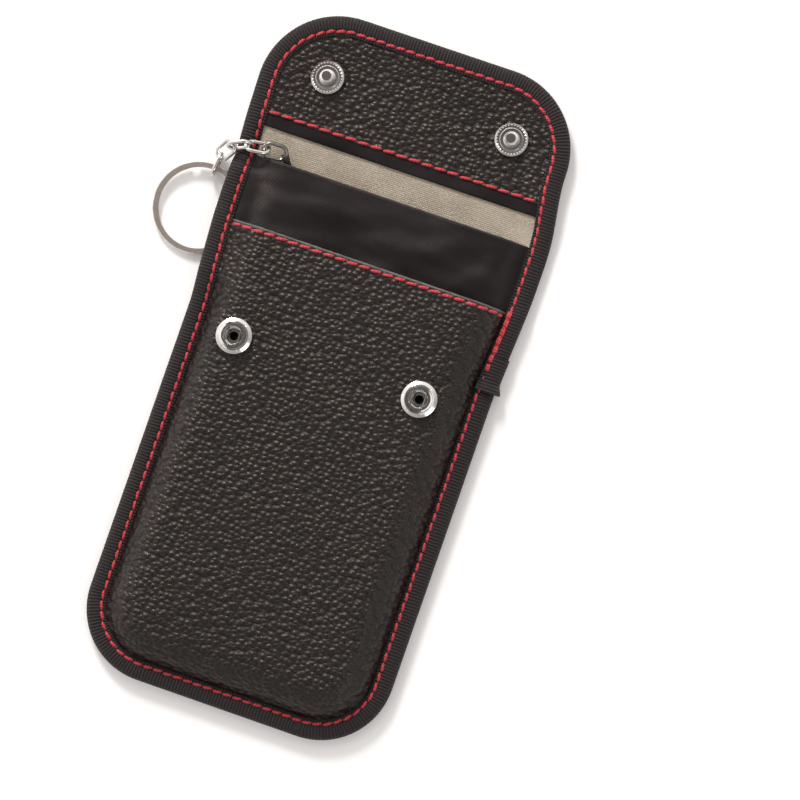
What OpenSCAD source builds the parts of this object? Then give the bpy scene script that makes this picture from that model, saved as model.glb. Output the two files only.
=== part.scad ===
// Soft radio-shielding key pouch, lying open on its back with its key chain
// beside it. Black leather outside, a silvery shielding cloth inside, ribbed
// tape bound round the whole edge, two press studs, and a short chain with a
// split ring. X runs across the pouch, Y up to the flap's end, Z up.

/* [Pouch] */
// Half of the width across the lower part
half_width = 42.75; // [40:0.25:46]
// Distance from the middle to the bottom edge, and to the flap's end
half_length = 93.4; // [90:0.2:98]
// Radius of the two bottom corners
bottom_radius = 20; // [16:0.5:22]
// Radius of the flap's two corners
flap_radius = 22; // [18:0.5:24]
// How much wider each side is beside the mouth
mouth_swell = 1.5; // [0:0.1:2]
// How far the flap lies skewed to the left
flap_skew = 1.8; // [0:0.1:2.5]
// Room inside each of the two pockets, from wall to wall
pocket_gap = 4.2; // [4.2:0.05:4.4]
// Width of the slope from a seam up to the pouch's flat top
crown_width = 7.5; // [7:0.1:8]

/* [Layers] */
// Thickness of the leather
leather = 0.9; // [0.7:0.05:0.9]
// Thickness of the shielding cloth
shield = 0.25; // [0.2:0.01:0.25]
// Thickness of the satin
satin = 0.25; // [0.2:0.01:0.25]
// Top edge of the front panel, which is the front pocket's mouth
front_top = 30.9; // [28:0.1:32]
// Top edge of the satin divider, which is the shielded pocket's mouth
divider_top = 49.5; // [48.5:0.1:50]
// Lower edge of the turned strip under the flap's leather
hem_bottom = 58.1; // [57:0.1:59]
// Lower edge of the flap's inner leather
patch_bottom = 61.3; // [60.5:0.1:62]

/* [Binding] */
// Width of the binding tape on each face
tape_width = 5.5; // [5:0.1:5.6]
// Thickness of the binding tape
tape = 0.5; // [0.4:0.05:0.5]

/* [Snaps] */
// Half of the distance between the two snaps
snap_spacing = 26.1; // [25.5:0.1:26.5]
// Distance of the studs up from the middle
stud_y = 75.6; // [75:0.1:76]
// Distance of the sockets up from the middle
socket_y = 1.6; // [1:0.1:2]
// Outer diameter of a stud
stud_diameter = 9; // [8.5:0.1:9.4]
// Outer diameter of a socket
socket_diameter = 9.7; // [9.4:0.1:10]

/* [Chain] */
// Length of a chain link outside
link_length = 7.4; // [7.2:0.1:7.5]
// Width of a chain link outside
link_width = 5; // [4.9:0.05:5.1]
// Diameter of the link wire
link_wire = 1.1; // [1:0.05:1.1]
// Outer diameter of the split ring
ring_diameter = 25; // [24.5:0.1:25.2]

/* [Hidden] */

leather_color = [0.05, 0.05, 0.055];
satin_color = [0.1, 0.095, 0.1];
shield_color = [0.66, 0.6, 0.5];
tape_color = [0.13, 0.11, 0.1];
chrome = [0.75, 0.76, 0.78];
dark_metal = [0.32, 0.31, 0.31];

gap = 0.03;
cut_inset = 0.7;
// Columns across a layer: the cut edge, the tape's inner edge, the slope, the flat
column_places = [42.05, 36.9, 34.7, 32.2, 29.2, 24.6, 19.6, 13, 6.5];
columns = 2 * len(column_places);
column_shares = concat([for (x = column_places) -x], [0], [for (k = [8 : -1 : 0]) column_places[k]])
    / column_places[0];

// The fold: everything above it turns over with the flap
fold_y = (stud_y + socket_y) / 2;
fold_z = 9.1;
fold_start = fold_y - 3.6;
fold_end = fold_y + 8.4;
tape_fold_end = fold_end + 4;
// The flap's inside lies higher by this, and every edge by the tape under it
flap_lift = 0.9;
edge_lift = tape + 0.05;
// How far the left edge rises over the split ring
ring_lift = 3.3;
// Middle between the two snaps, and how deep the front leather dips round them
snap_middle = -1.3;
snap_dip = 1;
// How much narrower the flap's end is
flap_taper = 0.8;

// A step from 0 to 1 with a smooth start and end
function ease(t) = let (c = max(0, min(1, t))) c * c * (3 - 2 * c);

// Outline: half width and middle line at a height y
function side(y) = half_width + mouth_swell * ease((y - 5) / 35) - flap_taper * ease((y - 52) / 18);
function middle(y) = -flap_skew * ease((y - 46) / 26);
low_y = bottom_radius - half_length;
high_y = half_length - flap_radius;

// Half width of the outline drawn in by inset
function reach(y, inset) =
    y < low_y ? side(y) - bottom_radius + sqrt(max(0, pow(bottom_radius - inset, 2) - pow(low_y - y, 2)))
    : y > high_y ? side(y) - flap_radius + sqrt(max(0, pow(flap_radius - inset, 2) - pow(y - high_y, 2)))
    : side(y) - inset;

// How far a point lies inside the outline
function depth(x, y) =
    let (radius = y < 0 ? bottom_radius : flap_radius,
         across = abs(x - middle(y)) - side(y) + radius,
         along = y < 0 ? low_y - y : y - high_y)
    along <= 0 ? radius - across
    : across <= 0 ? radius - along
    : radius - norm([across, along]);

// From 0 at the binding to 1 on the flat top
function crown(x, y) = ease((depth(x, y) - tape_width - 0.3) / crown_width);

// How far the front leather dips round each socket
function dip(x, y) =
    let (away = norm([abs(x - snap_middle) - snap_spacing, y - socket_y]))
    snap_dip * ease((10 - away) / 4);

// Heights of the layers' undersides
function ring_rise(x, y) =
    ring_lift * ease((-x - 26) / 9) * ease((y - 6.5) / 11) * ease((50.2 - y) / 6.4);
function base(x, y) =
    flap_lift * ease((y - divider_top) / 12) + edge_lift * (1 - crown(x, y)) + ring_rise(x, y);
function back_inside(x, y) = base(x, y) + leather + gap;
function shield_top(x, y) = back_inside(x, y) + shield;
function divider_base(x, y) =
    shield_top(x, y) + gap + max(0, pocket_gap * crown(x, y) - ring_rise(x, y));
function satin_base(x, y) = divider_base(x, y) + shield + gap;
function divider_face(x, y) = satin_base(x, y) + satin;
function lining_base(x, y) = divider_face(x, y) + gap + pocket_gap * crown(x, y) - dip(x, y);
function front_base(x, y) = lining_base(x, y) + shield + gap;
function front_face(x, y) = front_base(x, y) + leather;
function patch_base(x, y) = shield_top(x, y) + gap;

// Rows of a layer, from the low edge up, with round ends drawn in by the cut
low_rows = [for (inset = [cut_inset, 3, 5.8, 8.5, 11.5, 14.5, 20]) low_y - bottom_radius + inset];
high_rows = [for (inset = [22, 15, 10, 5.8, 3, cut_inset]) high_y + flap_radius - inset];
dip_rows = [for (k = [-2 : 2]) socket_y + 3.6 * k];
front_rows = concat(low_rows, [-52, -32, -15], dip_rows, [12.5, 16, 23.5, front_top]);
body_rows = concat(front_rows, [fold_start]);
fold_rows = [for (k = [0 : 6]) fold_start + (fold_end - fold_start) * k / 6];
flap_rows = concat([fold_end, divider_top, 51.5, 54.5, hem_bottom, patch_bottom, 66.5], high_rows);
patch_rows = concat([patch_bottom, 66.5], high_rows);
tape_fold_rows = concat(fold_rows, [divider_top, tape_fold_end]);
tape_flap_rows = concat([tape_fold_end], [for (y = flap_rows) if (y > tape_fold_end) y]);

// A layer of cloth or leather between two surfaces
module layer(rows, low, high, inset = cut_inset) {
    last = len(rows) - 1;
    count = columns + 1;
    grid = [for (y = rows) for (k = [0 : columns])
        [middle(y) + reach(y, inset) * column_shares[k], y]];
    points = concat(
        [for (p = grid) [p[0], p[1], high(p[0], p[1])]],
        [for (p = grid) [p[0], p[1], low(p[0], p[1])]]);
    under = len(grid);
    faces = concat(
        [for (r = [0 : last - 1]) for (k = [0 : columns - 1]) let (a = r * count + k)
            each [[a, a + count, a + 1], [a + 1, a + count, a + count + 1]]],
        [for (r = [0 : last - 1]) for (k = [0 : columns - 1]) let (a = under + r * count + k)
            each [[a, a + 1, a + count], [a + 1, a + count + 1, a + count]]],
        [for (r = [0 : last - 1]) let (a = r * count)
            each [[a, under + a, a + count], [under + a, under + a + count, a + count]]],
        [for (r = [0 : last - 1]) let (a = r * count + columns)
            each [[a, a + count, under + a], [under + a, a + count, under + a + count]]],
        [for (k = [0 : columns - 1])
            each [[k, k + 1, under + k], [under + k, k + 1, under + k + 1]]],
        [for (k = [0 : columns - 1]) let (a = last * count + k)
            each [[a, under + a, a + 1], [under + a, under + a + 1, a + 1]]]);
    polyhedron(points, faces);
}

// Height of the stack of edges that the tape holds, with and without the front panel
body_stack = 3.5;
flap_stack = 2.6;
function stack(y) = body_stack - (body_stack - flap_stack) * ease((y - front_top - 0.6) / 3);

// A station of the tape: a point on the outline and the way inwards
function round_station(centre, radius, a) =
    [centre[0] + radius * cos(a), centre[1] + radius * sin(a), -cos(a), -sin(a)];
function bottom_station(a, way) =
    round_station([way * (half_width - bottom_radius), low_y], bottom_radius, a);
function top_station(a, way) =
    let (across = side(half_length) - flap_radius)
    round_station([middle(half_length) + way * across, high_y], flap_radius, a);
function side_station(y, way) = [middle(y) + way * side(y), y, -way, 0];

// The folded tape's section, a C that is open inwards
under_room = 0.2;
outside = 60;
function tape_points(s) =
    let (low = base(s[0] > 0 ? outside : -outside, s[1]),
         high = low + stack(s[1]),
         section = [
             [0, low - tape], [tape_width, low - tape], [tape_width, low - under_room],
             [tape, low - under_room], [tape, high], [tape_width, high],
             [tape_width, high + tape], [0, high + tape]])
    [for (p = section) [s[0] + p[0] * s[2], s[1] + p[0] * s[3], p[1]]];

module tape_run(stations) {
    sections = [for (s = stations) tape_points(s)];
    last = len(stations) - 1;
    points = [for (s = sections) each s];
    cap = [[0, 1, 2], [0, 2, 3], [0, 3, 4], [0, 4, 7], [4, 5, 6], [4, 6, 7]];
    polyhedron(points, concat(
        [for (f = cap) f],
        [for (f = cap) [f[2] + last * 8, f[1] + last * 8, f[0] + last * 8]],
        [for (r = [0 : last - 1]) for (k = [0 : 7]) let (a = r * 8 + k, b = r * 8 + (k + 1) % 8)
            each [[a, a + 8, b], [b, a + 8, b + 8]]]));
}

corner = [for (k = [0 : 8]) 90 * k / 8];
side_heights = [for (y = body_rows) if (y > low_y) y];
module body_binding() color(tape_color)
    tape_run(concat(
        [for (k = [len(side_heights) - 1 : -1 : 0]) side_station(side_heights[k], -1)],
        [for (a = corner) bottom_station(180 + a, -1)],
        [for (a = corner) bottom_station(270 + a, 1)],
        [for (y = side_heights) side_station(y, 1)]));
flap_heights = [for (y = tape_flap_rows) if (y < high_y) y];
module flap_binding() color(tape_color)
    tape_run(concat(
        [for (y = flap_heights) side_station(y, 1)],
        [for (a = corner) top_station(a, 1)],
        [for (a = corner) top_station(90 + a, -1)],
        [for (k = [len(flap_heights) - 1 : -1 : 0]) side_station(flap_heights[k], -1)]));
fold_last = len(tape_fold_rows) - 1;
module binding_fold(way) color(tape_color)
    tape_run([for (k = [0 : fold_last])
        side_station(tape_fold_rows[way > 0 ? k : fold_last - k], way)]);

// The tape's second end, which laps over the first beside the front panel
lap_start = 10.5;
lap_length = 9;
module binding_lap() color(tape_color)
    translate([side(lap_start) - tape_width, lap_start, base(outside, lap_start) + body_stack + tape + gap])
        linear_extrude(tape)
            polygon([
                [0, 0], [tape_width + 0.7, -0.8], [tape_width + 0.3, lap_length], [0.2, lap_length - 1]]);

// Walls
post_radius = 1.9;
module snap_holes(y) {
    for (way = [-1, 1])
        translate([snap_middle + way * snap_spacing, y, -1])
            cylinder(r = post_radius, h = 30, $fn = 48);
}
module back_panel() color(leather_color)
    layer(body_rows, function (x, y) base(x, y), function (x, y) base(x, y) + leather);
module back_shield() color(shield_color)
    layer(body_rows, function (x, y) back_inside(x, y), function (x, y) shield_top(x, y));
module divider_shield() color(shield_color)
    layer(body_rows, function (x, y) divider_base(x, y), function (x, y) divider_base(x, y) + shield);
module divider_satin() color(satin_color)
    layer(body_rows, function (x, y) satin_base(x, y), function (x, y) divider_face(x, y));
module front_lining() color(satin_color) difference() {
    layer(front_rows, function (x, y) lining_base(x, y), function (x, y) lining_base(x, y) + shield);
    snap_holes(socket_y);
}
module front_panel() color(leather_color) difference() {
    layer(front_rows, function (x, y) front_base(x, y), function (x, y) front_face(x, y));
    snap_holes(socket_y);
}
module back_fold() color(leather_color)
    layer(fold_rows, function (x, y) base(x, y), function (x, y) base(x, y) + leather);
module shield_fold() color(shield_color)
    layer(fold_rows, function (x, y) back_inside(x, y), function (x, y) shield_top(x, y));
module divider_fold() color(satin_color)
    layer(fold_rows, function (x, y) divider_base(x, y), function (x, y) divider_face(x, y));

// Flap
module flap_outer() color(leather_color) difference() {
    layer(flap_rows, function (x, y) base(x, y), function (x, y) base(x, y) + leather);
    snap_holes(stud_y);
}
module flap_shield() color(shield_color) difference() {
    layer(flap_rows, function (x, y) back_inside(x, y), function (x, y) shield_top(x, y));
    snap_holes(stud_y);
}
module mouth_lip() color(satin_color)
    layer([fold_end, divider_top],
        function (x, y) divider_base(x, y), function (x, y) divider_face(x, y));
hem = 0.7;
module flap_hem() color(satin_color)
    layer([hem_bottom, patch_bottom - gap],
        function (x, y) patch_base(x, y), function (x, y) patch_base(x, y) + hem);
module flap_patch() color(leather_color) difference() {
    layer(patch_rows, function (x, y) patch_base(x, y), function (x, y) patch_base(x, y) + leather);
    snap_holes(stud_y);
}

// Press studs: the stud and its cap on the flap, the socket, its spring and
// its post on the front panel
flap_face = flap_lift + 2 * leather + shield + 2 * gap + 0.2;
panel_face = 2 * leather + 3 * shield + satin + 6 * gap + 2 * pocket_gap - snap_dip;
stud_flange = 1.2;
stud_top = flap_face + gap + stud_flange;
socket_top = 2 * fold_z - stud_top - 0.1;
head_radius = 1.8;
neck_radius = 1.35;
stud_height = 4.1;
spring_wire = 0.5;

shaft_room = 0.3;
notch_step = 12;
dimple_step = 60;

module at_snap(way, y, z) translate([snap_middle + way * snap_spacing, y, z]) children();

// A flange with a groove and a notched rim, and a neck with a head for the socket
module stud_turned() {
    rim = stud_diameter / 2;
    rotate_extrude($fn = 96) polygon([
        [0, 0], [rim - 0.3, 0], [rim, 0.3], [rim, 0.75], [rim - 0.5, stud_flange],
        [rim - 1.3, stud_flange - 0.05], [rim - 1.5, 0.8], [2.2, 0.75], [neck_radius, 0.95],
        [neck_radius, 2.45], [head_radius, 2.85], [head_radius, stud_height - 0.5],
        [head_radius - 0.5, stud_height], [0, stud_height]]);
}
module stud(way) color(chrome) at_snap(way, stud_y, flap_face + gap) difference() {
    union() {
        stud_turned();
        translate([0, 0, -2 * leather - shield - 3 * gap])
            cylinder(r = post_radius - shaft_room, h = 2.4, $fn = 48);
    }
    for (a = [0 : notch_step : 359])
        rotate(a) translate([stud_diameter / 2 - 0.75, 0, stud_flange + 0.15])
            rotate([0, 90, 0]) cylinder(r = 0.28, h = 1, $fn = 6);
}
module stud_cap(way) color(chrome) at_snap(way, stud_y, 0)
    rotate_extrude($fn = 96) polygon([
        [0, 0], [3.4, 0], [4.6, 0.25], [5, 0.55], [5, flap_lift - gap], [0, flap_lift - gap]]);

// A dimpled flange and a raised collar that holds the spring wires round its hole
module socket(way) color(chrome) at_snap(way, socket_y, panel_face + 0.1) difference() {
    height = socket_top - panel_face - 0.1;
    rim = socket_diameter / 2;
    bore = post_radius + 0.1;
    rotate_extrude($fn = 96) polygon([
        [bore, 0], [rim - 0.2, 0], [rim, 0.3], [rim, 0.8], [rim - 0.9, 1.2], [3.7, 1.5],
        [3.55, height - 0.5], [3.2, height], [2.75, height], [2.45, height - 0.35],
        [2.45, height - 0.6], [3, height - 0.7], [3, height - 1.7], [2.3, height - 1.9],
        [2.3, 0.9], [bore, 0.7]]);
    for (a = [0 : dimple_step : 359])
        rotate(a) translate([4.25, 0, 1.45]) sphere(r = 0.45, $fn = 24);
}
module socket_spring(way) color(dark_metal) at_snap(way, socket_y, socket_top - 0.7)
    for (turn = [0, 180])
        rotate(turn) translate([neck_radius + spring_wire / 2 + 0.04, 0, 0])
            rotate([90, 0, 0]) cylinder(d = spring_wire, h = 3.6, center = true, $fn = 24);
post_flange = 0.6;
post_height = 2.95;
module socket_post(way) color(chrome)
    at_snap(way, socket_y, panel_face - leather - shield - gap * 2 - 1.6)
        rotate_extrude($fn = 96) polygon([
            [1.2, 0], [3, 0], [3.2, 0.25], [3.2, post_flange], [post_radius - 0.05, post_flange],
            [post_radius - 0.05, post_height], [1.2, post_height]]);

// Chain: a leather tab in the shielded pocket's mouth, five oval links and a split ring.
// Each link lies at a place and is turned about its own length, the last one upright.
tab_end = [-30.1, 51.8, 3.7];
link_places = [
    [-34.0, 52.1, 4.8], [-38.7, 51.65, 6.0], [-43.35, 50.6, 6.65], [-46.7, 48.3, 4.3], [-47.9, 44.1, 2.5]];
link_turns = [-18.6, 43.6, -71, 15.6, 90];
ring_at = [-48.9, 31.5, 0.6];
ring_tilt = 2.75;

// A link between the middles of its neighbours
module link(number) {
    at = link_places[number - 1];
    from = number == 1 ? tab_end : link_places[number - 2];
    way = number == 5 ? [-0.1, -1, -0.05] : link_places[number] - from;
    heading = atan2(way[1], way[0]);
    pitch = atan2(way[2], norm([way[0], way[1]]));
    wire = link_wire / 2;
    bend = link_width / 2 - wire;
    arm = link_length - link_width;
    translate(at) rotate([0, -pitch, heading]) rotate([link_turns[number - 1], 0, 0])
        for (turn = [0, 180]) rotate(turn) {
            translate([arm / 2, 0, 0]) rotate([0, 0, -90]) rotate_extrude(angle = 180, $fn = 64)
                translate([bend, 0]) circle(r = wire, $fn = 32);
            translate([-arm / 2, bend, 0]) rotate([0, 90, 0]) cylinder(r = wire, h = arm, $fn = 32);
        }
}

tab_size = [5.8, 1, 3.7];
tab_hole = 1.1;
module chain_tab() color(leather_color) translate(tab_end) difference() {
    translate([-2.3, -tab_size[1] / 2, -2.1]) cube(tab_size);
    translate([-0.9, 0, 0]) rotate([90, 0, 0]) cylinder(r = tab_hole, h = 10, center = true, $fn = 32);
}

// Two coils of flat wire, each nearly a full turn
ring_wire = 1.6;
ring_coil = 0.8;
ring_gap_turn = 300;
module split_ring() color(chrome) translate(ring_at) rotate([ring_tilt, 0, 0]) {
    section = [
        [0, 0.12], [0.12, 0], [ring_wire - 0.25, 0], [ring_wire, 0.25], [ring_wire, ring_coil - 0.25],
        [ring_wire - 0.25, ring_coil], [0.12, ring_coil], [0, ring_coil - 0.12]];
    for (level = [0, 1])
        translate([0, 0, level * ring_coil]) rotate([0, 0, level * ring_gap_turn + 120])
            rotate_extrude(angle = 350, $fn = 128)
                translate([ring_diameter / 2 - ring_wire, 0]) polygon(section);
}

back_panel();
back_shield();
divider_shield();
divider_satin();
front_lining();
front_panel();
body_binding();
binding_lap();
socket(-1);  // socket_left
socket(1);  // socket_right
socket_spring(-1);  // socket_spring_left
socket_spring(1);  // socket_spring_right
socket_post(-1);  // socket_post_left
socket_post(1);  // socket_post_right
back_fold();
shield_fold();
divider_fold();
binding_fold(-1);  // binding_fold_left
binding_fold(1);  // binding_fold_right
flap_outer();
flap_shield();
mouth_lip();
flap_hem();
flap_patch();
flap_binding();
stud(-1);  // stud_left
stud(1);  // stud_right
stud_cap(-1);  // stud_cap_left
stud_cap(1);  // stud_cap_right
chain_tab();
color(dark_metal) link(1);  // chain_link_1
color(chrome) link(2);  // chain_link_2
color(chrome) link(3);  // chain_link_3
color(chrome) link(4);  // chain_link_4
color(chrome) link(5);  // chain_link_5
split_ring();
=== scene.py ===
# Key pouch with a shielded pocket: the looks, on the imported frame
import math

import bpy
import numpy as np
from mathutils import Matrix, Vector


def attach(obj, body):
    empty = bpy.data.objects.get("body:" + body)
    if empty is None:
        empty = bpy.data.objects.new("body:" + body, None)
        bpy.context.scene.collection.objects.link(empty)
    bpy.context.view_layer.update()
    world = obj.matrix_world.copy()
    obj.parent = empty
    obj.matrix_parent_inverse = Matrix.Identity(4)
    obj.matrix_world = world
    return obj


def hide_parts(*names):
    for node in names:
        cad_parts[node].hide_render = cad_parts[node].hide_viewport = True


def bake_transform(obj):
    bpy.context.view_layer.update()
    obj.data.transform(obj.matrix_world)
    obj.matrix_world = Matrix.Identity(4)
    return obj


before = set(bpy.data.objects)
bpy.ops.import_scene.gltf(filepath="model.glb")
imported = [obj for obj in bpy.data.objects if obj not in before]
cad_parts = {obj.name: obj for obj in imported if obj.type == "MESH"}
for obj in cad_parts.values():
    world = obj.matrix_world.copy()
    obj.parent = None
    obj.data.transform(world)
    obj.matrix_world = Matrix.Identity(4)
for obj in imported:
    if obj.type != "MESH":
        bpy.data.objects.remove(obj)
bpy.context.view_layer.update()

MM = 0.001

# The source's sizes, in millimetres
HALF_WIDTH, HALF_LENGTH = 42.75, 93.4
BOTTOM_RADIUS, FLAP_RADIUS = 20.0, 22.0
MOUTH_SWELL, FLAP_SKEW = 1.5, 1.8
POCKET_GAP, CROWN_WIDTH = 4.2, 7.5
LEATHER, SHIELD, SATIN = 0.9, 0.25, 0.25
FRONT_TOP, DIVIDER_TOP, HEM_BOTTOM, PATCH_BOTTOM = 30.9, 49.5, 58.1, 61.3
TAPE_WIDTH, TAPE, GAP = 5.5, 0.5, 0.03
SNAP_SPACING, SNAP_MIDDLE, SOCKET_Y = 26.1, -1.3, 1.6
FLAP_LIFT, EDGE_LIFT, RING_LIFT, SNAP_DIP = 0.9, 0.55, 3.3, 1.0
LOW_Y, HIGH_Y = BOTTOM_RADIUS - HALF_LENGTH, HALF_LENGTH - FLAP_RADIUS
SNAP_FLAT, SNAP_BLEND = 10.0, 4.0
CUSHION_FLAT, CUSHION_BLEND, CUSHION_WIDTH = 7.6, 2.5, 9.4

# How far the sheets and the seam lie inside the outline
LAYER_INSET = 2.6
STITCH_INSET = 4.25

# Stacks of layers above the base at the tape's inner edge, each from a height along the pouch
STACK = [(-200, 2.98), (FRONT_TOP, 1.78), (DIVIDER_TOP, 1.22), (HEM_BOTTOM, 1.9), (PATCH_BOTTOM, 2.12)]
POUCH_STACK, FLAP_DROP = 3.5, 0.9
SEAM_DENT, UNDER_DENT, DENT_WIDTH = 0.16, 0.12, 0.4
TAPE_PARTS = (5.15, 4.9, 4.5, 4.25, 4.0, 3.7, 3.3, 2.9)

# Stitches: distance from one to the next, then length, radius and slant
EDGE_PITCH, FRONT_PITCH, FLAP_PITCH, BACK_PITCH = 2.8, 3.3, 3.6, 2.3
EDGE_STITCH, UNDER_STITCH, FRONT_STITCH, FLAP_STITCH, BACK_STITCH = 2.5, 2.4, 2.95, 3.1, 2.35
THREAD_RADIUS, UNDER_RADIUS, BACK_RADIUS = 0.43, 0.36, 0.4
SLANT, BACK_SLANT = 0.17, 0.05
STITCH_FACETS = 7, 7

# Rolled and turned edges
ROLLED_RADIUS, TURNED_RADIUS = 0.34, 0.3

# Surface textures, whose coordinates count in units of 100 mm
GRAIN_ACROSS, GRAIN_ALONG = 56, 75.6
GRAIN_HEIGHT = 0.00038
RIB_PITCH, YARN_PITCH = 0.86, 0.35

# Creases of the satin: middle, turn, height and width
CREASES = ((-22, 41, 0.35, 0.35, 3.2), (4, 38, -0.25, 0.3, 4.0), (18, 43, 0.5, 0.38, 2.6),
           (28, 38, 0.8, 0.4, 2.4), (-8, 44, 0.2, 0.22, 2.8), (34, 42, 1.0, 0.3, 2.0))
CREASE_LENGTH = 11


def ease(t):
    """Smooth step from 0 to 1."""
    t = np.clip(t, 0.0, 1.0)
    return t * t * (3 - 2 * t)


def side(y):
    """Half the width of the outline at a height along the pouch."""
    return HALF_WIDTH + MOUTH_SWELL * ease((y - 5) / 35) - 0.8 * ease((y - 52) / 18)


def middle(y):
    """Sideways place of the middle of the outline, which drifts on the flap."""
    return -FLAP_SKEW * ease((y - 46) / 26)


def reach(y, inset):
    """Half the width of the outline drawn in by an inset, with its round corners."""
    low = np.sqrt(np.maximum(0, (BOTTOM_RADIUS - inset) ** 2 - np.minimum(y - LOW_Y, 0) ** 2))
    high = np.sqrt(np.maximum(0, (FLAP_RADIUS - inset) ** 2 - np.maximum(y - HIGH_Y, 0) ** 2))
    return np.where(y < LOW_Y, side(y) - BOTTOM_RADIUS + low,
                    np.where(y > HIGH_Y, side(y) - FLAP_RADIUS + high, side(y) - inset))


def depth(x, y):
    """Distance from a point to the outline."""
    radius = np.where(y < 0, BOTTOM_RADIUS, FLAP_RADIUS)
    across = np.abs(x - middle(y)) - side(y) + radius
    along = np.where(y < 0, LOW_Y - y, y - HIGH_Y)
    round_part = radius - np.hypot(across, along)
    return np.where(along <= 0, radius - across, np.where(across <= 0, radius - along, round_part))


def crown(x, y):
    """Rise of the pockets' walls from the tape, from 0 to 1."""
    return ease((depth(x, y) - TAPE_WIDTH - 0.3) / CROWN_WIDTH)


def near_snap(x, y, far=SNAP_FLAT, blend=SNAP_BLEND):
    """1 at a snap on the front, and 0 away from it."""
    away = np.hypot(np.abs(x - SNAP_MIDDLE) - SNAP_SPACING, y - SOCKET_Y)
    return ease((far - away) / blend)


def pillow(x, y):
    """Like crown, but rounded as a cushion is: steep at the tape, level on top and at the snaps."""
    t = np.clip((depth(x, y) - TAPE_WIDTH - 0.1) / CUSHION_WIDTH, 0, 1)
    p = (1 - (1 - t) ** 2.2) ** 0.75
    return p + (1 - p) * near_snap(x, y, CUSHION_FLAT, CUSHION_BLEND)


def ring_rise(x, y):
    """Lift of the layers at the left of the mouth, where the ring lies under them."""
    return RING_LIFT * ease((-x - 26) / 9) * ease((y - 6.5) / 11) * ease((50.2 - y) / 6.4)


def base(x, y):
    """Underside of the pouch's outer leather. The surfaces that follow lie on it in turn."""
    return FLAP_LIFT * ease((y - DIVIDER_TOP) / 12) + EDGE_LIFT * (1 - crown(x, y)) + ring_rise(x, y)


def back_inside(x, y):
    return base(x, y) + LEATHER + GAP


def shield_top(x, y):
    return back_inside(x, y) + SHIELD


def divider_base(x, y):
    return shield_top(x, y) + GAP + np.maximum(0, POCKET_GAP * pillow(x, y) - ring_rise(x, y))


def satin_base(x, y):
    return divider_base(x, y) + SHIELD + GAP


def divider_face(x, y):
    return satin_base(x, y) + SATIN


def lining_base(x, y):
    return divider_face(x, y) + GAP + (POCKET_GAP - SNAP_DIP) * pillow(x, y)


def front_base(x, y):
    return lining_base(x, y) + SHIELD + GAP


def front_face(x, y):
    return front_base(x, y) + LEATHER


def patch_base(x, y):
    return shield_top(x, y) + GAP


# Meshes

def make_mesh(name, points, faces, uvs, material):
    """A mesh from points in millimetres, with one UV pair for each point."""
    mesh = bpy.data.meshes.new(name)
    mesh.from_pydata((np.asarray(points, float) * MM).tolist(), [], faces)
    layer = mesh.uv_layers.new(name="UVMap")
    corners = np.zeros(len(mesh.loops), np.int32)
    mesh.loops.foreach_get("vertex_index", corners)
    layer.data.foreach_set("uv", np.asarray(uvs, np.float32)[corners].ravel())
    mesh.polygons.foreach_set("use_smooth", np.ones(len(mesh.polygons), bool))
    mesh.materials.append(material)
    mesh.validate()
    obj = bpy.data.objects.new(name, mesh)
    bpy.context.scene.collection.objects.link(obj)
    return obj


def tube_faces(rings, sides, first=0, closed=False):
    """Faces between rings of points. An open tube gets flat ends."""
    faces = []
    for i in range(rings if closed else rings - 1):
        a, b = first + i * sides, first + (i + 1) % rings * sides
        for k in range(sides):
            m = (k + 1) % sides
            faces.append((a + k, a + m, b + m, b + k))
    if not closed:
        last = first + (rings - 1) * sides
        faces.append(tuple(range(first, first + sides))[::-1])
        faces.append(tuple(range(last, last + sides)))
    return faces


def run(a, b, step=1.5):
    """Evenly spaced numbers from a up to b, without b itself."""
    n = max(1, round((b - a) / step))
    return [a + (b - a) * k / n for k in range(n)]


def end_rows(start, radius, way):
    """Rows of a round end, from the cut inwards, close together at the cut."""
    return [start - way * (radius - LAYER_INSET) * math.cos(math.radians(a)) for a in range(0, 90, 8)]


low_end = end_rows(LOW_Y, BOTTOM_RADIUS, 1)
high_end = end_rows(HIGH_Y, FLAP_RADIUS, -1)[::-1]
middle_rows = []
stops = [LOW_Y, FRONT_TOP - 0.5, FRONT_TOP, DIVIDER_TOP - 0.5, DIVIDER_TOP, HEM_BOTTOM, PATCH_BOTTOM,
         PATCH_BOTTOM + 0.5, HIGH_Y]
for a, b in zip(stops, stops[1:]):
    middle_rows += run(a, b)
ALL_ROWS = low_end + middle_rows + high_end


def rows_from(a, b):
    """The shared rows between two heights."""
    return [y for y in ALL_ROWS if a - 1e-6 <= y <= b + 1e-6]


def rounded(y, edge, size=0.45):
    """Share of the thickness that a turned edge keeps near its end."""
    d = np.clip(np.abs(y - edge) / size, 0, 1)
    return 0.3 + 0.7 * np.sqrt(1 - (1 - d) ** 2)


COLUMNS = 64
EDGE_ROWS = (0.05, 0.15, 0.3, 0.45)


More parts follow.
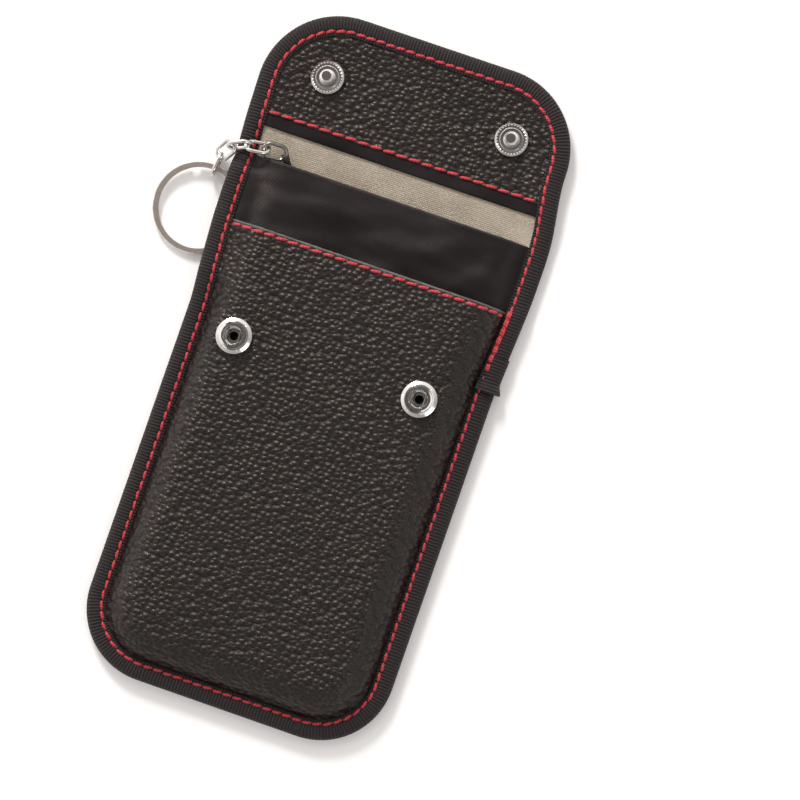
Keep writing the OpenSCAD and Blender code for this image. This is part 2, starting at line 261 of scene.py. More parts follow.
def slab(name, rows, low, high, material, edges=()):
    """A closed sheet between two surfaces. A turned edge is rounded, with closer rows."""
    rows = list(rows)
    for edge in edges:
        way = 1 if abs(rows[0] - edge) < 1e-6 else -1
        rows = sorted(set([r for r in rows if abs(r - edge) > 0.44 or r == edge]
                          + [edge + way * d for d in EDGE_ROWS]))
    rows = np.array(rows)
    y = np.repeat(rows[:, None], COLUMNS + 1, axis=1)
    share = np.linspace(-1, 1, COLUMNS + 1)[None, :]
    x = middle(y) + reach(y, LAYER_INSET) * share
    z_low, z_high = low(x, y), high(x, y)
    for edge in edges:
        keep = rounded(y, edge)
        mid, half = (z_low + z_high) / 2, (z_high - z_low) / 2
        z_low, z_high = mid - half * keep, mid + half * keep
    count, last = COLUMNS + 1, len(rows) - 1
    top = np.stack([x, y, z_high], -1).reshape(-1, 3)
    bottom = np.stack([x, y, z_low], -1).reshape(-1, 3)
    under = len(top)
    faces = []
    for r in range(last):
        for k in range(COLUMNS):
            a = r * count + k
            faces.append((a, a + 1, a + count + 1, a + count))
            faces.append((under + a, under + a + count, under + a + count + 1, under + a + 1))
        a = r * count
        faces.append((a, a + count, under + a + count, under + a))
        a = r * count + COLUMNS
        faces.append((a, under + a, under + a + count, a + count))
    for k in range(COLUMNS):
        faces.append((k, under + k, under + k + 1, k + 1))
        a = last * count + k
        faces.append((a, a + 1, under + a + 1, under + a))
    points = np.concatenate([top, bottom])
    obj = make_mesh(name, points, faces, points[:, :2] / 100, material)
    obj.data.set_sharp_from_angle(angle=math.radians(50))
    return obj


def cut_holes(obj, y, radius):
    """Round holes for the snaps, cut through a sheet."""
    for way in (-1, 1):
        bpy.ops.mesh.primitive_cylinder_add(
            vertices=48, radius=radius * MM, depth=0.06,
            location=((SNAP_MIDDLE + way * SNAP_SPACING) * MM, y * MM, 0.01))
        cutter = bpy.context.object
        modifier = obj.modifiers.new("hole", "BOOLEAN")
        modifier.operation = "DIFFERENCE"
        modifier.object = cutter
        modifier.solver = "EXACT"
        bpy.context.view_layer.objects.active = obj
        bpy.ops.object.modifier_apply(modifier=modifier.name)
        bpy.data.objects.remove(cutter, do_unlink=True)


# Materials

class Nodes:
    """The node tree of a material or a world, written as a few short calls."""

    def __init__(self, owner, shader="Principled BSDF"):
        self.owner = owner
        owner.use_nodes = True
        self.tree = owner.node_tree
        self.shader = self.tree.nodes[shader]

    def node(self, kind, links=(), **settings):
        n = self.tree.nodes.new(kind)
        for key, value in settings.items():
            setattr(n, key, value)
        for socket, source in dict(links).items():
            self.tree.links.new(source, n.inputs[socket])
        return n

    def math(self, operation, a, b=None):
        n = self.tree.nodes.new("ShaderNodeMath")
        n.operation = operation
        for i, v in enumerate((a, b)):
            if v is None:
                continue
            if isinstance(v, (int, float)):
                n.inputs[i].default_value = v
            else:
                self.tree.links.new(v, n.inputs[i])
        return n.outputs[0]

    def uv(self, scale=(1, 1, 1), turn=0.0):
        uv = self.node("ShaderNodeUVMap", uv_map="UVMap")
        m = self.node("ShaderNodeMapping", {"Vector": uv.outputs[0]})
        m.inputs["Scale"].default_value = scale
        m.inputs["Rotation"].default_value = (0, 0, turn)
        return m.outputs[0]

    def uv_parts(self):
        """The UV pair's vector, then its first and second number."""
        uv = self.node("ShaderNodeUVMap", uv_map="UVMap").outputs[0]
        parts = self.node("ShaderNodeSeparateXYZ", {0: uv}).outputs
        return uv, parts[0], parts[1]

    def span(self, value, a, b, c=0.0, d=1.0, smooth=False):
        n = self.node("ShaderNodeMapRange", {"Value": value})
        if smooth:
            n.interpolation_type = "SMOOTHSTEP"
        for key, v in (("From Min", a), ("From Max", b), ("To Min", c), ("To Max", d)):
            n.inputs[key].default_value = v
        return n.outputs[0]

    def mix(self, factor, a, b):
        n = self.node("ShaderNodeMix", data_type="RGBA")
        self.tree.links.new(factor, n.inputs["Factor"])
        for socket, v in (("A", a), ("B", b)):
            target = [s for s in n.inputs if s.name == socket and s.type == "RGBA"][0]
            if isinstance(v, tuple):
                target.default_value = (*v, 1)
            else:
                self.tree.links.new(v, target)
        return [s for s in n.outputs if s.type == "RGBA"][0]

    def noise(self, vector, scale, detail=2.0, rough=0.5):
        n = self.node("ShaderNodeTexNoise", {"Vector": vector})
        n.inputs["Scale"].default_value = scale
        n.inputs["Detail"].default_value = detail
        n.inputs["Roughness"].default_value = rough
        return n.outputs["Fac"]

    def bump(self, height, distance, strength=1.0, normal=None):
        n = self.node("ShaderNodeBump", {"Height": height})
        n.inputs["Distance"].default_value = distance
        n.inputs["Strength"].default_value = strength
        if normal is not None:
            self.tree.links.new(normal, n.inputs["Normal"])
        return n.outputs[0]

    def finish(self, color=None, rough=None, normal=None, **numbers):
        for name, value in (("Base Color", color), ("Roughness", rough), ("Normal", normal)):
            if value is None:
                continue
            if isinstance(value, (int, float)):
                self.shader.inputs[name].default_value = value
            elif isinstance(value, tuple):
                self.shader.inputs[name].default_value = (*value, 1)
            else:
                self.tree.links.new(value, self.shader.inputs[name])
        for name, value in numbers.items():
            self.shader.inputs[name.replace("_", " ")].default_value = value
        return self.owner


def new_nodes(name):
    """The node tree of a new material."""
    return Nodes(bpy.data.materials.new(name))


def leather_material(name, crease_with_painted_shade, top_with_painted_highlight, gloss):
    """Pebbled leather: rounded cells wider than high, with creases between them."""
    m = new_nodes(name)
    place = m.uv((GRAIN_ACROSS, GRAIN_ALONG, 1), turn=math.radians(7))
    shift = m.node("ShaderNodeTexNoise", {"Vector": place})
    shift.inputs["Scale"].default_value = 0.9
    shift.inputs["Detail"].default_value = 1.0
    bent = m.node("ShaderNodeMix", data_type="VECTOR")
    bent.inputs[0].default_value = 0.25
    vectors = [s for s in bent.inputs if s.type == "VECTOR"]
    m.tree.links.new(place, vectors[-2])
    moved = m.node("ShaderNodeVectorMath", {0: place, 1: shift.outputs["Color"]}, operation="ADD")
    m.tree.links.new(moved.outputs[0], vectors[-1])
    bent_out = [s for s in bent.outputs if s.type == "VECTOR"][0]
    cells = m.node("ShaderNodeTexVoronoi", {"Vector": bent_out}, feature="SMOOTH_F1")
    cells.inputs["Scale"].default_value = 1.0
    cells.inputs["Randomness"].default_value = 0.8
    cells.inputs["Smoothness"].default_value = 0.12
    away = cells.outputs["Distance"]
    mound = m.math("SUBTRACT", 1.0, m.math("MULTIPLY", m.math("MULTIPLY", away, away), 2.1))
    fine = m.noise(place, 7.0, 3.0)
    wide = m.noise(place, 0.09, 2.0)
    height = m.math("ADD", mound, m.math("MULTIPLY", fine, 0.12))
    # Pebble tops are painted lighter and the creases between them darker: painted highlight and painted
    # shade. The wide noise is the leather's own uneven tone.
    tone = m.math("MULTIPLY", m.span(mound, 0.0, 0.75), m.span(wide, 0.3, 0.7, 0.7, 1.0))
    color = m.mix(tone, crease_with_painted_shade, top_with_painted_highlight)
    rough = m.span(mound, 0.1, 0.7, gloss + 0.2, gloss)
    m.shader.inputs["Specular Tint"].default_value = (1, 0.9, 0.83, 1)
    return m.finish(color, rough, m.bump(height, GRAIN_HEIGHT), Specular_IOR_Level=0.45,
                    Coat_Weight=0.08, Coat_Roughness=0.22)


leather = leather_material("pebbled_leather", (0.0014, 0.0008, 0.0006), (0.0085, 0.0052, 0.0042), 0.34)
leather_back = leather_material("pebbled_leather_back", (0.0025, 0.0019, 0.0017),
                                (0.013, 0.0102, 0.0092), 0.42)


def satin_material():
    """Black satin: fine bands of weave, soft creases, uneven gloss, and lighter cloudy patches of colour
    that are painted sheen.
    """
    m = new_nodes("black_satin")
    weave = m.node("ShaderNodeTexWave", {"Vector": m.uv()}, wave_type="BANDS", bands_direction="Y")
    weave.inputs["Scale"].default_value = 95
    weave.inputs["Distortion"].default_value = 0.4
    cloud = m.noise(m.uv((1.6, 3.2, 1), turn=0.5), 1.5, 1.5)
    # The lighter clouds of colour are painted sheen; the same clouds also vary the roughness.
    color = m.mix(m.span(cloud, 0.3, 0.72), (0.0022, 0.0013, 0.0014), (0.0075, 0.0052, 0.0054))
    rough = m.span(cloud, 0.3, 0.7, 0.34, 0.5)
    crease = m.noise(m.uv((2.2, 5.0, 1), turn=0.6), 2.0, 1.2, 0.5)
    m.shader.inputs["Specular Tint"].default_value = (1, 0.9, 0.87, 1)
    normal = m.bump(crease, 0.004, 0.45, m.bump(weave.outputs["Fac"], 0.00005, 0.6))
    return m.finish(color, rough, normal, Specular_IOR_Level=0.32, Sheen_Weight=0.03, Sheen_Roughness=0.4)


satin = satin_material()


def shield_material():
    """A silvery beige cloth, plain woven from thin metal-coated yarn."""
    m = new_nodes("shielding_cloth")
    place = m.uv()
    waves = []
    for direction in ("X", "Y"):
        w = m.node("ShaderNodeTexWave", {"Vector": place}, wave_type="BANDS", bands_direction=direction)
        w.inputs["Scale"].default_value = 62
        w.inputs["Distortion"].default_value = 2.6
        w.inputs["Detail"].default_value = 1.0
        w.inputs["Detail Scale"].default_value = 4.0
        waves.append(w.outputs["Fac"])
    weave = m.math("MULTIPLY", waves[0], waves[1])
    fleck = m.noise(place, 170, 2.0, 0.7)
    cloud = m.noise(place, 9, 4.0)
    tone = m.math("ADD", m.math("MULTIPLY", m.span(fleck, 0.3, 0.7), 0.55),
                  m.math("MULTIPLY", m.span(cloud, 0.3, 0.7), 0.45))
    color = m.mix(tone, (0.25, 0.205, 0.155), (0.56, 0.485, 0.385))
    normal = m.bump(fleck, 0.00008, 0.8, m.bump(weave, 0.00010, 0.8))
    return m.finish(color, m.span(fleck, 0.2, 0.8, 0.38, 0.6), normal, Metallic=0.35, Sheen_Weight=0.2)


shielding = shield_material()


def tape_material():
    """Ribbed tape: ribs run across its width, so they follow the first UV along the edge."""
    m = new_nodes("ribbed_tape")
    uv, along, across = m.uv_parts()
    wobble = m.noise(uv, 30, 2.0)
    shifted = m.math("ADD", m.math("MULTIPLY", along, 100 / RIB_PITCH), m.math("MULTIPLY", wobble, 0.5))
    rib = m.math("ABSOLUTE", m.math("SINE", m.math("MULTIPLY", shifted, math.pi)))
    yarn = m.math("ABSOLUTE", m.math("SINE", m.math("MULTIPLY", across, 100 / YARN_PITCH * math.pi)))
    fuzz = m.noise(uv, 400, 2.0)
    cloth = m.math("ADD", m.math("MULTIPLY", yarn, 0.12), m.math("MULTIPLY", fuzz, 0.22))
    height = m.math("ADD", rib, cloth)
    # The colour is darker in the ribs' valleys and lighter on their crests: painted shade. The fuzz adds the
    # tape's own uneven tone.
    tone = m.math("MULTIPLY", rib, m.span(fuzz, 0.25, 0.75, 0.55, 1.0))
    color = m.mix(tone, (0.0042, 0.0026, 0.0026), (0.034, 0.0245, 0.0245))
    return m.finish(color, m.span(fuzz, 0.3, 0.7, 0.66, 0.88), m.bump(height, 0.0003),
                    Specular_IOR_Level=0.3, Sheen_Weight=0.08, Sheen_Roughness=0.5)


tape_cloth = tape_material()


def thread_material():
    """Red sewing thread, twisted along its length."""
    m = new_nodes("red_thread")
    uv, along, around = m.uv_parts()
    twist = m.math("SINE", m.math("MULTIPLY", m.math("ADD", along, around), 2 * math.pi))
    shade = m.span(twist, -1, 1)
    fray = m.noise(uv, 6, 2.0)
    # The colour is darker and lighter along the twist: painted shade and painted highlight on the strands.
    # The fray noise is the thread's own uneven tone.
    tone = m.math("MULTIPLY", shade, m.span(fray, 0.2, 0.8, 0.6, 1.0))
    color = m.mix(tone, (0.34, 0.006, 0.014), (0.74, 0.03, 0.05))
    return m.finish(color, 0.5, m.bump(shade, 0.00008, 0.8), Sheen_Weight=0.3)


thread = thread_material()


def edge_material(name, dark, light):
    """The cut or rolled edge of leather: a slightly uneven line between two colours. On the front's rolled
    edge the grey is a painted highlight along the fold.
    """
    m = new_nodes(name)
    place = m.uv()
    worn = m.noise(place, 40, 4.0, 0.7)
    color = m.mix(m.span(worn, 0.3, 0.7), dark, light)
    return m.finish(color, m.span(worn, 0.3, 0.7, 0.45, 0.7), m.bump(worn, 0.0001, 0.6))


# The front's rolled edge is painted grey as the highlight along the leather's fold.
rolled_edge_painted_highlight = edge_material("rolled_edge_painted_highlight", (0.05, 0.044, 0.041), (0.16, 0.145, 0.135))
dark_edge = edge_material("turned_edge", (0.008, 0.0065, 0.006), (0.022, 0.018, 0.0165))


def metal_material(name, bright, dull, rough, scratch=0.05):
    """Plated metal with cloudy gloss and fine scratches."""
    m = new_nodes(name)
    place = m.node("ShaderNodeTexCoord").outputs["Object"]
    cloud = m.noise(place, 320, 4.0, 0.65)
    fine = m.noise(place, 2600, 2.0)
    color = m.mix(m.span(cloud, 0.35, 0.7), dull, bright)
    spread = m.math("ADD", m.span(cloud, 0.3, 0.75, rough + 0.08, rough), m.math("MULTIPLY", fine, scratch))
    return m.finish(color, spread, m.bump(fine, 0.00001, 0.4), Metallic=1.0)


chrome = metal_material("bright_chrome", (0.86, 0.84, 0.82), (0.68, 0.65, 0.62), 0.1)
# The split ring's warm brown tint is a painted brown reflection on plated steel.
ring_steel = metal_material("steel_with_painted_brown_reflection", (0.80, 0.73, 0.67), (0.56, 0.49, 0.43), 0.28)
nickel = metal_material("dark_nickel", (0.34, 0.31, 0.29), (0.2, 0.18, 0.17), 0.24)


# What the camera and reflections see added to the floor, so that it shows white
FLOOR_GLOW = 0.1


def floor_material():
    """A pale floor that keeps its shadow and shows white."""
    m = new_nodes("pale_floor")
    place = m.node("ShaderNodeTexCoord").outputs["Object"]
    cloud = m.noise(place, 3.0, 2.0)
    color = m.mix(m.span(cloud, 0.3, 0.7), (0.93, 0.915, 0.91), (0.95, 0.94, 0.935))
    m.finish(color, 0.8, Specular_IOR_Level=0.1)
    path = m.node("ShaderNodeLightPath").outputs
    seen = m.math("MAXIMUM", m.math("MAXIMUM", path["Is Camera Ray"], path["Is Glossy Ray"]),
                  path["Is Transmission Ray"])
    glow = m.node("ShaderNodeEmission", {"Strength": m.math("MULTIPLY", seen, FLOOR_GLOW)})
    glow.inputs["Color"].default_value = (1, 0.985, 0.978, 1)
    both = m.node("ShaderNodeAddShader", {0: m.shader.outputs[0], 1: glow.outputs[0]})
    m.tree.links.new(both.outputs[0], m.tree.nodes["Material Output"].inputs["Surface"])
    return m.owner


# Soft pieces

everywhere = rows_from(-1e3, 1e3)


def across_fold(obj):
    """Bakes the piece's place into its mesh; the piece is put on no body."""
    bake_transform(obj)


def waves(x, y):
    """Small unevenness of a hand-sewn skin, from 0 to 1."""
    a = np.sin(0.11 * x + 0.07 * y + 1.3) * np.sin(0.05 * x - 0.13 * y + 0.4)
    b = np.sin(0.23 * x - 0.05 * y + 2.1) * np.sin(0.17 * y + 0.9)
    return 0.5 + 0.3 * a + 0.2 * b


def satin_folds(x, y):
    """Shallow slanting creases of the satin above the front panel."""
    window = ease((y - 29) / 4) * ease((49.2 - y) / 4) * crown(x, y)
    crease = np.zeros_like(x)
    for cx, cy, turn, size, wide in CREASES:
        off = (y - cy) * math.cos(turn) - (x - cx) * math.sin(turn)
        along = (x - cx) * math.cos(turn) + (y - cy) * math.sin(turn)
        crease = crease + size * np.exp(-(off / wide) ** 2) * np.exp(-(along / CREASE_LENGTH) ** 2)
    return window * crease


outer = slab("outer_leather", everywhere, base, lambda x, y: base(x, y) + LEATHER, leather_back)
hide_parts("back_panel", "back_fold", "flap_outer")

inner_shield = slab("shielding_cloth_inside", everywhere, back_inside, shield_top, shielding)
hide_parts("back_shield", "shield_fold", "flap_shield")

divider_back = slab("divider_shielding_cloth", rows_from(-1e3, DIVIDER_TOP - 0.5),
                    divider_base, lambda x, y: divider_base(x, y) + SHIELD, shielding)
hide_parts("divider_shield")

divider = slab("satin_divider", rows_from(-1e3, DIVIDER_TOP),
               lambda x, y: satin_base(x, y) - (SHIELD + GAP) * ease((y - DIVIDER_TOP + 0.48) / 0.2),
               lambda x, y: divider_face(x, y) + satin_folds(x, y), satin, edges=[DIVIDER_TOP])
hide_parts("divider_satin", "divider_fold", "mouth_lip")

lining = slab("front_pocket_lining", rows_from(-1e3, FRONT_TOP - 0.5), lining_base,
              lambda x, y: lining_base(x, y) + SHIELD, satin)
cut_holes(lining, SOCKET_Y, 2.0)
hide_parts("front_lining")


def panel_face(x, y):
    """The front panel's face, with its small unevenness."""
    quiet = crown(x, y) * (1 - near_snap(x, y)) * ease((FRONT_TOP + 1 - y) / 8)
    return front_face(x, y) + 0.35 * waves(x, y) * quiet


front = slab("front_leather", rows_from(-1e3, FRONT_TOP), front_base, panel_face, leather,
             edges=[FRONT_TOP])
cut_holes(front, SOCKET_Y, 1.95)
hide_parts("front_panel")


def patch_face(x, y):
    return patch_base(x, y) + LEATHER


hem = slab("flap_hem_strip", rows_from(HEM_BOTTOM, PATCH_BOTTOM), patch_base,
           lambda x, y: patch_base(x, y) + LEATHER - 0.25, satin, edges=[HEM_BOTTOM])
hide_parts("flap_hem")

patch = slab("flap_leather", rows_from(PATCH_BOTTOM, 1e3), patch_base, patch_face, leather,
             edges=[PATCH_BOTTOM])
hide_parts("flap_patch")

# Binding tape


CORNER_POINTS = 26


def loop_stations(step=1.3):
    """Points round the outline with the way inwards, from the right of the bottom, turning left."""
    out = []
    for a in np.linspace(270, 360, CORNER_POINTS)[:-1]:
        r = math.radians(a)
        out.append((HALF_WIDTH - BOTTOM_RADIUS + BOTTOM_RADIUS * math.cos(r),
                    LOW_Y + BOTTOM_RADIUS * math.sin(r), -math.cos(r), -math.sin(r)))
    heights = run(LOW_Y, HIGH_Y, step)
    out += [(float(middle(y) + side(y)), y, -1.0, 0.0) for y in heights]
    centre = float(middle(HALF_LENGTH))
    wide = float(side(HALF_LENGTH)) - FLAP_RADIUS
    for way, start in ((1, 0), (-1, 90)):
        for a in np.linspace(start, start + 90, CORNER_POINTS)[:-1]:
            r = math.radians(a)
            out.append((centre + way * wide + FLAP_RADIUS * math.cos(r),
                        HIGH_Y + FLAP_RADIUS * math.sin(r), -math.cos(r), -math.sin(r)))
        if way > 0:
            out += [(centre + x, HALF_LENGTH, 0.0, -1.0) for x in np.linspace(wide, -wide, 34)[:-1]]
    out += [(float(middle(y) - side(y)), y, 1.0, 0.0) for y in [HIGH_Y + LOW_Y - h for h in heights]]
    for a in np.linspace(180, 270, CORNER_POINTS)[:-1]:
        r = math.radians(a)
        out.append((-HALF_WIDTH + BOTTOM_RADIUS + BOTTOM_RADIUS * math.cos(r),
                    LOW_Y + BOTTOM_RADIUS * math.sin(r), -math.cos(r), -math.sin(r)))
    wide = HALF_WIDTH - BOTTOM_RADIUS
    out += [(x, -HALF_LENGTH, 0.0, 1.0) for x in np.linspace(-wide, wide, 35)[:-1]]
    return np.array(out)


def edge_low(s):
    """Height of the base at the outer edge of a station."""
    return float(base(np.array(60.0 if s[0] > 0 else -60.0), np.array(s[1])))


def inner_surface(y):
    """Height of the layers under the tape's inner edge, above the base."""
    height = STACK[0][1]
    for (edge, value), (_, before) in zip(STACK[1:], STACK):
        late = 1.4 if value < before else -0.4
        height += (value - before) * float(ease((y - edge - late + 1.4) / 1.4))
    return height


def outer_height(y):
    """Height of the tape's top above the base."""
    return POUCH_STACK - FLAP_DROP * float(ease((y - FRONT_TOP - 0.6) / 3)) + TAPE


# Distance from the outer edge at which the tape's round nose begins
NOSE = 2.3


def tape_levels(s):
    """Heights of the base, of the tape's top, of the layers at its inner edge, and of its underside."""
    low = edge_low(s)
    return low, low + outer_height(s[1]), low + inner_surface(s[1]) + GAP, low - TAPE


def tape_top(s, p):
    """Height of the tape's upper face at a distance p from the outer edge."""
    _, high, surface, _ = tape_levels(s)
    inner = surface + 0.42
    rise = float(ease((5.25 - p) / 2.3))
    dent = SEAM_DENT * math.exp(-((p - STITCH_INSET) / DENT_WIDTH) ** 2)
    return inner + (high - inner) * rise - dent


def tape_section(s, grow=0.0):
    """Outer line of the folded tape, from its upper inner edge round to the lower one."""
    low, high, surface, under = tape_levels(s)
    line = [(TAPE_WIDTH, surface), (TAPE_WIDTH, surface + 0.25 + grow), (5.4, surface + 0.38 + grow)]
    for p in TAPE_PARTS:
        line.append((p, tape_top(s, p) + grow))
    mid, half = (high + under) / 2, (high - under) / 2
    for a in range(90, -91, -15):
        r = math.radians(a)
        line.append((NOSE - (NOSE + grow) * math.cos(r), mid + (half + grow) * math.sin(r)))
    for p in reversed(TAPE_PARTS):
        dent = UNDER_DENT * math.exp(-((p - STITCH_INSET) / DENT_WIDTH) ** 2)
        line.append((p, under - grow + dent))
    line += [(5.4, under + 0.08 - grow), (TAPE_WIDTH, under + 0.2), (TAPE_WIDTH, low - GAP)]
    return [(p, max(0.0, z)) for p, z in line]


def tape_inside(s):
    """Inner line of the folded tape, from its lower edge back to the upper one."""
    low, high, surface, under = tape_levels(s)
    mid, half = (high + under) / 2, (high - under) / 2 - TAPE
    line = [(2.9, low - GAP)]
    for a in range(-90, 91, 30):
        r = math.radians(a)
        line.append((NOSE + 0.2 - (NOSE - 0.3) * math.cos(r), mid + half * math.sin(r)))
    line.append((2.9, surface))
    return line


def sweep(name, stations, closed, grow=None):
    """The tape's section carried along the outline. It grows outwards by an amount for each station."""
    sections, uvs = [], []
    travelled = 0.0
    for i, s in enumerate(stations):
        if i:
            q = stations[i - 1]
            travelled += math.hypot(s[0] + 2 * s[2] - q[0] - 2 * q[2], s[1] + 2 * s[3] - q[1] - 2 * q[3])
        line = tape_section(s, 0.0 if grow is None else grow[i]) + tape_inside(s)
        round_way = 0.0
        for k, (p, z) in enumerate(line):
            if k:
                round_way += math.hypot(p - line[k - 1][0], z - line[k - 1][1])
            sections.append((s[0] + p * s[2], s[1] + p * s[3], z))
            uvs.append((travelled / 100, round_way / 100))
    faces = tube_faces(len(stations), len(line), closed=closed)
    obj = make_mesh(name, sections, faces, uvs, tape_cloth)
    obj.data.set_sharp_from_angle(angle=math.radians(60))
    return obj


stations = loop_stations()
binding = sweep("binding_tape", stations, closed=True)
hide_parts("body_binding", "binding_fold_left", "binding_fold_right", "flap_binding")

# Stitches


def stitch_row(name, points, pitch, length, radius, way_up=1.0, slant=0.1):
    """A row of thread loops along a line on a surface; each loop dips into it at both ends."""
    points = np.asarray(points, float)

    def point_at(distance):
        return np.array([np.interp(distance, lengths, points[:, k]) for k in range(3)])

    lengths = np.concatenate([[0], np.cumsum(np.linalg.norm(np.diff(points, axis=0), axis=1))])
    whole = lengths[-1]
    count = max(1, int(whole / pitch))
    real_pitch = whole / count
    rings, sides = STITCH_FACETS
    verts, uvs, faces = [], [], []
    for i in range(count):
        start = i * real_pitch + (real_pitch - length) / 2
        first = len(verts)
        wander = 0.06 * math.sin(i * 2.4)
        for r in range(rings):
            t = r / (rings - 1)
            at = start + length * t
            along = point_at(at + 0.05) - point_at(at - 0.05)
            norm = np.linalg.norm(along)
            along = along / norm if norm > 1e-9 else np.array([1.0, 0, 0])
            across = np.cross([0, 0, way_up], along)
            across /= max(1e-9, np.linalg.norm(across))
            up = np.array([0, 0, way_up])
            arch = math.sin(math.pi * t) ** 0.5 if 0 < t < 1 else 0.0
            aside = slant * (2 * t - 1) + wander
            centre = point_at(at) + up * (radius * (0.75 * arch - 0.45)) + across * aside
            size = radius * (0.45 + 0.55 * math.sin(math.pi * min(1, max(0, 0.12 + 0.76 * t))) ** 0.6)
            for k in range(sides):
                a = 2 * math.pi * k / sides
                verts.append(centre + size * (math.cos(a) * across + 0.85 * math.sin(a) * up))
                uvs.append((t * length / 0.8, k / sides))
        faces += tube_faces(rings, sides, first)
    return make_mesh(name, verts, faces, uvs, thread)


upper, lower = [], []
for s in list(stations) + [stations[0]]:
    at = (s[0] + STITCH_INSET * s[2], s[1] + STITCH_INSET * s[3])
    upper.append((*at, tape_top(s, STITCH_INSET)))
    lower.append((*at, edge_low(s) - TAPE + UNDER_DENT))
edge_upper = stitch_row("edge_stitches_inside", upper, EDGE_PITCH, EDGE_STITCH, THREAD_RADIUS, slant=SLANT)
edge_lower = stitch_row("edge_stitches_outside", lower, EDGE_PITCH, UNDER_STITCH, UNDER_RADIUS, way_up=-1.0)


def seam_line(y, z, left, right):
    """Points across the pouch, on the surface z(x, y)."""
    x = np.linspace(left, right, 120)
    yy = np.full_like(x, y)
    return np.stack([x, yy, z(x, yy)], -1)


front_line = seam_line(FRONT_TOP - 0.8, panel_face, -38.3, 38.3)
front_seam = stitch_row("front_seam_stitches", front_line, FRONT_PITCH, FRONT_STITCH, THREAD_RADIUS,
                        slant=SLANT)
flap_line = seam_line(PATCH_BOTTOM + 0.7, patch_face, -39.6, 36.4)
flap_seam = stitch_row("flap_seam_stitches", flap_line, FLAP_PITCH, FLAP_STITCH, THREAD_RADIUS,
                       slant=SLANT)


def back_stitch():
    """The doubled stitches at the right of the mouth."""
    rows = []
    for off in (-0.28, 0.28):
        line = []
        for y in np.linspace(14.6, 32.0, 30):
            s = (float(side(y)), y, -1.0, 0.0)
            line.append((s[0] - STITCH_INSET + off, y, tape_top(s, STITCH_INSET - off) + 0.22))
        rows.append(line)
    return rows


doubled = [stitch_row(f"back_stitches_{k}", line, BACK_PITCH, BACK_STITCH, BACK_RADIUS, slant=BACK_SLANT)
           for k, line in enumerate(back_stitch())]


def bead(name, points, radius, material, flat=0.7):
    """A thin rolled edge along a line, lower than wide."""
    points = np.asarray(points, float)
    sides = 10
    verts, uvs = [], []
    for i, p in enumerate(points):
        q = points[min(i + 1, len(points) - 1)] - points[max(i - 1, 0)]
        q /= np.linalg.norm(q)
        across = np.cross([0, 0, 1.0], q)
        across /= np.linalg.norm(across)
        size = radius * (1 + 0.12 * math.sin(0.9 * i) * math.sin(0.37 * i))
        for k in range(sides):
            a = 2 * math.pi * k / sides
            verts.append(p + size * (math.cos(a) * across + flat * math.sin(a) * np.array([0, 0, 1.0])))
            uvs.append((p[0] / 100, p[1] / 100 + k * 0.001))
    return make_mesh(name, verts, tube_faces(len(points), sides), uvs, material)


# The front panel's rolled top edge, painted grey as a highlight.
mouth_line = seam_line(FRONT_TOP + 0.1, lambda x, y: front_face(x, y) - 0.3, -38.6, 38.6)
mouth_edge = bead("front_rolled_edge", mouth_line, ROLLED_RADIUS, rolled_edge_painted_highlight)
divider_line = seam_line(DIVIDER_TOP + 0.05, lambda x, y: divider_face(x, y) - 0.2, -39.2, 38.9)
divider_edge = bead("divider_turned_edge", divider_line, TURNED_RADIUS, dark_edge)

# The tape's second end, wrapped over the first at the right of the front panel, widest at its start
LAP_START, LAP_END, LAP_FLARE, LAP_THICKNESS = 9.6, 19.4, 3.0, 0.42
lap_heights = np.linspace(LAP_START, LAP_END, 15)
lap_stations = np.array([(float(side(y)), y, -1.0, 0.0) for y in lap_heights])
lap_grow = [LAP_THICKNESS + 1.05 * float(ease((LAP_START + LAP_FLARE - y) / LAP_FLARE)) for y in lap_heights]
lap = sweep("binding_tape_end", lap_stations, closed=False, grow=lap_grow)
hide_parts("binding_lap")

# Chain tab


TAB_TIP, TAB_WAY, TAB_LENGTH = (-31.0, 51.75, 3.75), (0.5, -0.82, -0.28), 4.6
TAB_HALF_WIDTH, TAB_HALF_THICKNESS = 0.95, 0.19


def chain_tab():
    """A narrow folded strap that holds the first link and runs down under the divider's edge."""
    tip = np.array(TAB_TIP)
    way = np.array(TAB_WAY)
    way /= np.linalg.norm(way)
    across = np.cross(way, [0, 0, 1.0])
    across /= np.linalg.norm(across)
    up = np.cross(across, way)
    steps = np.linspace(TAB_LENGTH, 0.9, 8)
    upper_leg = [tip + way * t + up * (0.28 + 0.42 * float(ease((3.2 - t) / 2.4))) for t in steps]
    lower_leg = [tip + way * t - up * (0.28 + 0.42 * float(ease((3.2 - t) / 2.4))) for t in steps[::-1]]
    bend = [tip + way * (0.9 * math.cos(r) + 0.35) + up * 0.78 * math.sin(r)
            for r in np.radians(np.linspace(90, 270, 11)[1:-1])]
    line = upper_leg + bend + lower_leg
    verts, uvs = [], []
    corners = [(-1, -0.6), (-0.9, -1), (0.9, -1), (1, -0.6), (1, 0.6), (0.9, 1), (-0.9, 1), (-1, 0.6)]
    for i, p in enumerate(line):
        q = line[min(i + 1, len(line) - 1)] - line[max(i - 1, 0)]
        q /= np.linalg.norm(q)
        normal = np.cross(q, across)
        for a, b in corners:
            verts.append(p + across * a * TAB_HALF_WIDTH + normal * b * TAB_HALF_THICKNESS)
            uvs.append((i * 0.004, a * 0.01))
    return make_mesh("chain_leather_tab", verts, tube_faces(len(line), len(corners)), uvs, dark_edge)


tab = chain_tab()
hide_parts("chain_tab")

# Where each piece belongs

for piece in (outer, inner_shield, divider, binding, edge_upper, edge_lower, divider_back, divider_edge):
    across_fold(piece)
for piece in (front, lining, front_seam, mouth_edge, lap, *doubled):
    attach(piece, "pouch")
for piece in (hem, patch, flap_seam, tab):
    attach(piece, "flap")

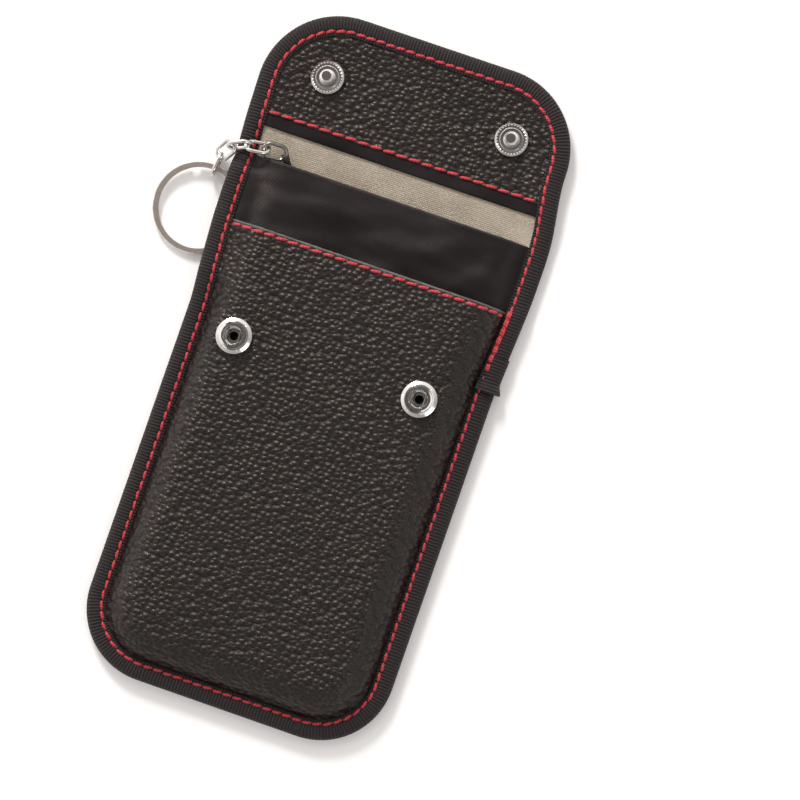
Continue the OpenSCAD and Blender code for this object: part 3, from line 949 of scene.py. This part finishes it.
# Hardware from the CAD, with the finish of the first name that fits
FINISHES = (("chain_link_1", nickel), ("socket_spring", nickel), ("split_ring", ring_steel),
            ("stud", chrome), ("socket", chrome), ("chain_link", chrome))
for name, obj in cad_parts.items():
    finishes = [finish for start, finish in FINISHES if name.startswith(start)]
    if finishes:
        obj.data.materials.clear()
        obj.data.materials.append(finishes[0])

# Stage

FLOOR_SIZE, FLOOR_Z = 6, -0.0002
bpy.ops.mesh.primitive_plane_add(size=FLOOR_SIZE, location=(0, 0, FLOOR_Z))
floor = bpy.context.object
floor.name = "floor"
floor.data.materials.append(floor_material())


def area_light(name, place, aim, size, power, color):
    """A rectangular lamp at a place, turned to a point."""
    data = bpy.data.lights.new(name, "AREA")
    data.shape = "RECTANGLE"
    data.size, data.size_y = size
    data.energy = power
    data.color = color
    obj = bpy.data.objects.new(name, data)
    obj.location = place
    obj.rotation_euler = (Vector(aim) - Vector(place)).to_track_quat("-Z", "Y").to_euler()
    bpy.context.scene.collection.objects.link(obj)


area_light("key", (-0.6, 0.85, 0.7), (0, 0.03, 0), (0.3, 0.3), 12.0, (1, 0.985, 0.96))
area_light("fill", (0.9, -0.5, 1.0), (0, 0, 0), (0.7, 0.7), 3.0, (0.97, 0.98, 1))


def studio_world():
    """A pale room: bright towards the window at the upper left, dark straight above."""
    world = bpy.data.worlds.new("studio")
    bpy.context.scene.world = world
    m = Nodes(world, "Background")
    way = m.node("ShaderNodeTexCoord").outputs["Generated"]
    x, y, z = m.node("ShaderNodeSeparateXYZ", {0: way}).outputs
    overhead = m.span(z, 0.86, 0.985, 1.0, 0.12, smooth=True)
    to_window = m.math("ADD", m.math("MULTIPLY", x, -0.7), m.math("MULTIPLY", y, 0.72))
    window = m.span(to_window, -0.7, 0.8, 0.42, 1.2, smooth=True)
    low_part = m.span(z, 0.0, 0.35, 1.0, 0.0, smooth=True)
    level = m.math("MULTIPLY", overhead, m.math("MAXIMUM", window, low_part))
    m.shader.inputs["Color"].default_value = (1, 0.965, 0.94, 1)
    m.tree.links.new(level, m.shader.inputs["Strength"])


studio_world()

# Camera

view = bpy.context.scene.view_settings
view.view_transform = "Standard"

# The photo's view: turned about the upright axis, tilted towards the lower right of the picture
ROLL = math.atan2(0.325, 0.9457)
right = Vector((math.cos(ROLL), math.sin(ROLL), 0))
up = Vector((-math.sin(ROLL), math.cos(ROLL), 0))
TILT = math.radians(5.0)
toward = (right - up).normalized()
CENTRE = Vector((19.5, 0.1, 4.0)) * MM
DISTANCE, HALF_VIEW, SENSOR = 1.2, 0.1066, 36
back = (toward * math.sin(TILT) + Vector((0, 0, 1)) * math.cos(TILT)).normalized()
camera_data = bpy.data.cameras.new("camera")
camera_data.sensor_width = SENSOR
camera_data.lens = SENSOR / (2 * HALF_VIEW / DISTANCE)
camera_data.clip_start = 0.05
camera = bpy.data.objects.new("camera", camera_data)
across_view = (right - back * right.dot(back)).normalized()
up_view = back.cross(across_view)
camera.matrix_world = Matrix((
    (across_view.x, up_view.x, back.x, CENTRE.x + back.x * DISTANCE),
    (across_view.y, up_view.y, back.y, CENTRE.y + back.y * DISTANCE),
    (across_view.z, up_view.z, back.z, CENTRE.z + back.z * DISTANCE),
    (0, 0, 0, 1)))
bpy.context.scene.collection.objects.link(camera)
bpy.context.scene.camera = camera
